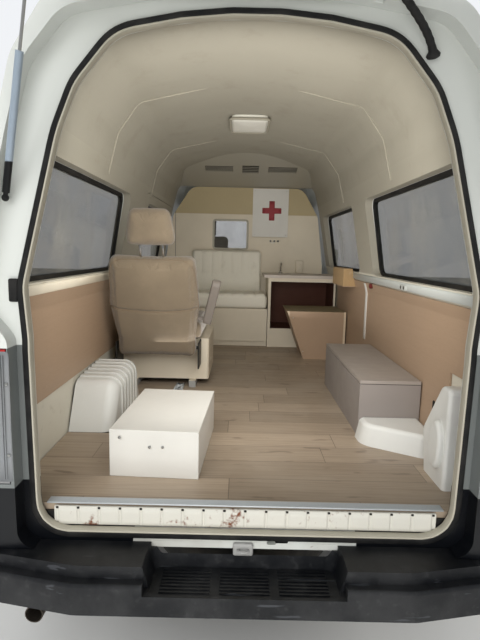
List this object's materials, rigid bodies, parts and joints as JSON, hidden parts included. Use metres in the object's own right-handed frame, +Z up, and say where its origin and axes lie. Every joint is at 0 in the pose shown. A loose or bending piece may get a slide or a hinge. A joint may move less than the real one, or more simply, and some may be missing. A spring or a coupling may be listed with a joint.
{
  "type": "high-roof ambulance van",
  "caption": "High-roof one-box ambulance van with its tailgate open on a fitted load space.",
  "frame": {"origin": "on the ground, midway along the whole length with the tailgate open, on the van's middle plane", "axes": "+X forward, +Y to the left, +Z up"},
  "size_m": [6.418, 2.12, 2.4199],
  "materials": {
    "body_paint": "white paint, slightly chalked, rust at the sill",
    "lamp_red": "red and amber lens in a grey housing",
    "lamp_clear": "clear lens",
    "black_rubber": "matt black rubber",
    "glass": "tinted glass",
    "strut_black": "black painted tube",
    "strut_steel": "polished rod",
    "bumper_black": "grained black plastic",
    "chassis_steel": "black underbody paint",
    "engine_iron": "plain casting",
    "exhaust_steel": "dull, rusty steel",
    "plank_vinyl": "wood plank pattern vinyl",
    "cream_board": "cream painted board",
    "white_board": "white laminated board",
    "white_vinyl": "white vinyl with sewn channels",
    "tan_trim": "tan wood pattern laminate",
    "brown_board": "brown laminated board",
    "headliner_plastic": "warm grey moulding",
    "grey_moulding": "pale grey moulding",
    "seat_fabric": "brown beige woven fabric",
    "cab_plastic": "grey grained plastic",
    "wheel_steel": "silver painted steel",
    "tyre_rubber": "black tyre",
    "light_bar_blue": "red lens on a white base"
  },
  "bodies": {
    "root": {"rear_frame": "body_paint", "left_body_side": "body_paint", "right_body_side": "body_paint", "roof_shell": "body_paint", "front_panel": "body_paint", "sliding_door": "body_paint", "tail_lamps": "lamp_red", "headlamps": "lamp_clear", "rubber_seals": "black_rubber", "fixed_glass": "glass", "rear_bumper": "bumper_black", "front_bumper": "bumper_black", "floor_pan": "chassis_steel", "frame_rails": "chassis_steel", "frame_members": "chassis_steel", "front_suspension": "chassis_steel", "load_floor": "plank_vinyl", "engine": "engine_iron", "fuel_tank": "chassis_steel", "spare_wheel": "tyre_rubber", "exhaust": "exhaust_steel", "rear_axle": "chassis_steel", "bulkhead": "cream_board", "bench_base": "cream_board", "bench_cushions": "white_vinyl", "white_box": "white_board", "trim_panels": "tan_trim", "ceiling_fittings": "headliner_plastic", "side_cabinet": "white_board", "slanted_box": "brown_board", "moulded_covers": "grey_moulding", "panel_locker": "brown_board", "seat_plinth": "cream_board", "seat_cushion": "seat_fabric", "dashboard": "cab_plastic", "cab_seats": "seat_fabric", "light_bar": "light_bar_blue"},
    "steering_wheel": {"steering_wheel": "cab_plastic"},
    "left_knuckle": {"left_knuckle": "chassis_steel"},
    "right_knuckle": {"right_knuckle": "chassis_steel"},
    "left_front_door": {"left_front_door": "body_paint", "left_front_door_glass": "glass"},
    "right_front_door": {"right_front_door": "body_paint", "right_front_door_glass": "glass"},
    "tailgate": {"tailgate": "body_paint", "tailgate_glass": "glass"},
    "left_strut_cylinder": {"left_strut_cylinder": "strut_black"},
    "left_strut_rod": {"left_strut_rod": "strut_steel"},
    "right_strut_cylinder": {"right_strut_cylinder": "strut_black"},
    "right_strut_rod": {"right_strut_rod": "strut_steel"},
    "seat_back": {"seat_back": "seat_fabric"},
    "armrest": {"armrest": "seat_fabric"},
    "front_left_wheel": {"front_left_rim": "wheel_steel", "front_left_tyre": "tyre_rubber"},
    "front_right_wheel": {"front_right_rim": "wheel_steel", "front_right_tyre": "tyre_rubber"},
    "rear_left_wheel": {"rear_left_rim": "wheel_steel", "rear_left_tyre": "tyre_rubber"},
    "rear_right_wheel": {"rear_right_rim": "wheel_steel", "rear_right_tyre": "tyre_rubber"}
  },
  "joints": [
    {"name": "steering_wheel_turn", "type": "hinge", "parent": "root", "child": "steering_wheel", "pos_m": [2.518, -0.4, 1.18], "axis": [-0.5736, 0, 0.8192], "range_deg": [-520, 520]},
    {"name": "left_knuckle_steer", "type": "hinge", "parent": "root", "child": "left_knuckle", "pos_m": [2.083, 0.66, 0.346], "axis": [0, 0, 1], "range_deg": [-33, 33]},
    {"name": "right_knuckle_steer", "type": "hinge", "parent": "root", "child": "right_knuckle", "pos_m": [2.083, -0.66, 0.346], "axis": [0, 0, 1], "range_deg": [-33, 33]},
    {"name": "front_left_wheel_spin", "type": "hinge", "parent": "left_knuckle", "child": "front_left_wheel", "pos_m": [2.083, 0.735, 0.346], "axis": [0, 1, 0], "continuous": true},
    {"name": "front_right_wheel_spin", "type": "hinge", "parent": "right_knuckle", "child": "front_right_wheel", "pos_m": [2.083, -0.735, 0.346], "axis": [0, 1, 0], "continuous": true},
    {"name": "rear_left_wheel_spin", "type": "hinge", "parent": "root", "child": "rear_left_wheel", "pos_m": [-0.632, 0.735, 0.346], "axis": [0, 1, 0], "continuous": true},
    {"name": "rear_right_wheel_spin", "type": "hinge", "parent": "root", "child": "rear_right_wheel", "pos_m": [-0.632, -0.735, 0.346], "axis": [0, 1, 0], "continuous": true},
    {"name": "left_front_door_swing", "type": "hinge", "parent": "root", "child": "left_front_door", "pos_m": [2.708, 0.845, 1], "axis": [0, 0, -1], "range_deg": [0, 65]},
    {"name": "right_front_door_swing", "type": "hinge", "parent": "root", "child": "right_front_door", "pos_m": [2.708, -0.845, 1], "axis": [0, 0, 1], "range_deg": [0, 65]},
    {"name": "tailgate_lift", "type": "hinge", "parent": "root", "child": "tailgate", "pos_m": [-1.522, 0, 2.222], "axis": [0, 1, 0], "range_deg": [-88, 0]},
    {"name": "left_strut_tilt", "type": "hinge", "parent": "root", "child": "left_strut_cylinder", "pos_m": [-1.567, 0.735, 1.6], "axis": [-0.2233, -0.935, -0.2756], "range_deg": [-19.56, 0.3]},
    {"name": "left_strut_slide", "type": "slide", "parent": "left_strut_cylinder", "child": "left_strut_rod", "axis": [-0.2001, -0.2328, 0.9517], "range_m": [-0.16531, 0.001]},
    {"name": "right_strut_tilt", "type": "hinge", "parent": "root", "child": "right_strut_cylinder", "pos_m": [-1.567, -0.735, 1.6], "axis": [0.2233, -0.935, 0.2756], "range_deg": [-19.56, 0.3]},
    {"name": "right_strut_slide", "type": "slide", "parent": "right_strut_cylinder", "child": "right_strut_rod", "axis": [-0.2001, 0.2328, 0.9517], "range_m": [-0.16531, 0.001]},
    {"name": "seat_back_recline", "type": "hinge", "parent": "root", "child": "seat_back", "pos_m": [-0.267, 0.5, 0.9], "axis": [0, 1, 0], "range_deg": [-45, 15]},
    {"name": "armrest_tilt", "type": "hinge", "parent": "seat_back", "child": "armrest", "pos_m": [-0.332, 0.212, 1.08], "axis": [0, 1, 0], "range_deg": [0, 95]}
  ],
  "couplings": [
    {"joint": "left_knuckle_steer", "follows": "steering_wheel_turn", "ratio": 0.061538},
    {"joint": "right_knuckle_steer", "follows": "steering_wheel_turn", "ratio": 0.061538},
    {"joint": "left_strut_tilt", "follows": "tailgate_lift", "ratio": 0.21885},
    {"joint": "left_strut_slide", "follows": "tailgate_lift", "m_per_rad": 0.10698},
    {"joint": "right_strut_tilt", "follows": "tailgate_lift", "ratio": 0.21885},
    {"joint": "right_strut_slide", "follows": "tailgate_lift", "m_per_rad": 0.10698}
  ]
}
